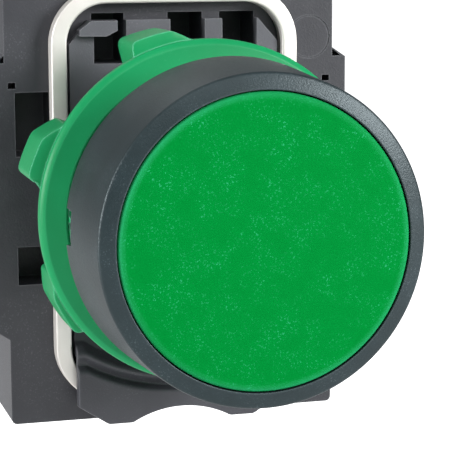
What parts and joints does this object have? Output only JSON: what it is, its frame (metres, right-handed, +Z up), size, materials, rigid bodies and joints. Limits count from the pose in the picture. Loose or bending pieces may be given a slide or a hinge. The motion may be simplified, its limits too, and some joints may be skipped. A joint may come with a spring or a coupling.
{
  "type": "industrial push button",
  "caption": "Flush round push button for a panel hole, with a sprung cap, bezel, gasket, ring nut, clip-on fixing collar with a steel locking frame, and a screw-terminal contact block.",
  "frame": {"origin": "on the push axis, in the plane of the panel's front surface, where the gasket seats", "axes": "+Z up, +Y from the operator into the panel along the push axis, +X to the operator's right"},
  "size_m": [0.0336, 0.0543, 0.0422],
  "materials": {
    "bezel_plastic": "fine moulded grain, satin",
    "barrel_plastic": "moulded, satin",
    "black_rubber": "soft, matt",
    "cap_green": "spark-textured, satin",
    "nut_green": "moulded nylon, satin",
    "collar_plastic": "moulded, satin",
    "nickel_steel": "nickel plated, satin",
    "block_plastic": "moulded, satin",
    "plunger_green": "moulded, satin",
    "copper_alloy": "rolled strip",
    "contact_silver": "silver alloy, satin",
    "zinc_steel": "bright zinc plated",
    "spring_steel": "drawn wire"
  },
  "bodies": {
    "head": {"bezel": "bezel_plastic", "head_barrel": "barrel_plastic", "spring_seat": "barrel_plastic", "panel_gasket": "black_rubber", "lip_seal": "black_rubber", "return_spring": "spring_steel", "collar_base": "collar_plastic", "collar_upper_plate": "collar_plastic", "collar_lower_plate": "collar_plastic", "contact_housing": "block_plastic", "contact_cover": "block_plastic", "fixed_tips": "contact_silver", "fixed_contact_top": "copper_alloy", "fixed_contact_bottom": "copper_alloy", "plunger_spring": "spring_steel"},
    "button": {"push_cap": "cap_green", "operator_plunger": "barrel_plastic"},
    "nut": {"ring_nut": "nut_green", "bite_ring": "nut_green"},
    "frame": {"locking_frame": "nickel_steel"},
    "block_plunger": {"contact_plunger": "plunger_green"},
    "bridge": {"contact_bridge": "copper_alloy", "bridge_tips": "contact_silver", "bridge_spring": "spring_steel"},
    "clamp_top": {"clamp_plate_top": "zinc_steel"},
    "clamp_bottom": {"clamp_plate_bottom": "zinc_steel"},
    "screw_top": {"terminal_screw_top": "zinc_steel"},
    "screw_bottom": {"terminal_screw_bottom": "zinc_steel"}
  },
  "joints": [
    {"name": "button_press", "type": "slide", "parent": "head", "child": "button", "axis": [0, 1, 0], "range_m": [0, 0.0043], "stiffness_N_per_m": 600, "springref_m": -0.002, "deforming": ["return_spring"]},
    {"name": "block_plunger_press", "type": "slide", "parent": "head", "child": "block_plunger", "axis": [0, 1, 0], "range_m": [0, 0.0043], "deforming": ["plunger_spring"]},
    {"name": "bridge_travel", "type": "slide", "parent": "head", "child": "bridge", "axis": [0, 1, 0], "range_m": [0, 0.0026], "deforming": ["bridge_spring"]},
    {"name": "frame_release", "type": "slide", "parent": "head", "child": "frame", "axis": [0, 0, -1], "range_m": [0, 0.001], "stiffness_N_per_m": 900, "springref_m": -0.001},
    {"name": "nut_turn", "type": "hinge", "parent": "head", "child": "nut", "pos_m": [0, 0.008, 0], "axis": [0, 1, 0], "range_deg": [0, 360]},
    {"name": "clamp_travel_top", "type": "slide", "parent": "head", "child": "clamp_top", "axis": [0, 1, 0], "range_m": [0, 0.0024]},
    {"name": "screw_turn_top", "type": "hinge", "parent": "clamp_top", "child": "screw_top", "pos_m": [0, 0.0362, 0.0134], "axis": [0, 1, 0], "range_deg": [0, 1440]},
    {"name": "clamp_travel_bottom", "type": "slide", "parent": "head", "child": "clamp_bottom", "axis": [0, 1, 0], "range_m": [0, 0.0024]},
    {"name": "screw_turn_bottom", "type": "hinge", "parent": "clamp_bottom", "child": "screw_bottom", "pos_m": [0, 0.0362, -0.0134], "axis": [0, 1, 0], "range_deg": [0, 1440]}
  ],
  "couplings": [
    {"joint": "block_plunger_press", "follows": "button_press", "ratio": 1},
    {"joint": "bridge_travel", "follows": "button_press", "ratio": 0.6},
    {"joint": "screw_turn_top", "follows": "clamp_travel_top", "rad_per_m": 10472},
    {"joint": "screw_turn_bottom", "follows": "clamp_travel_bottom", "rad_per_m": 10472}
  ]
}
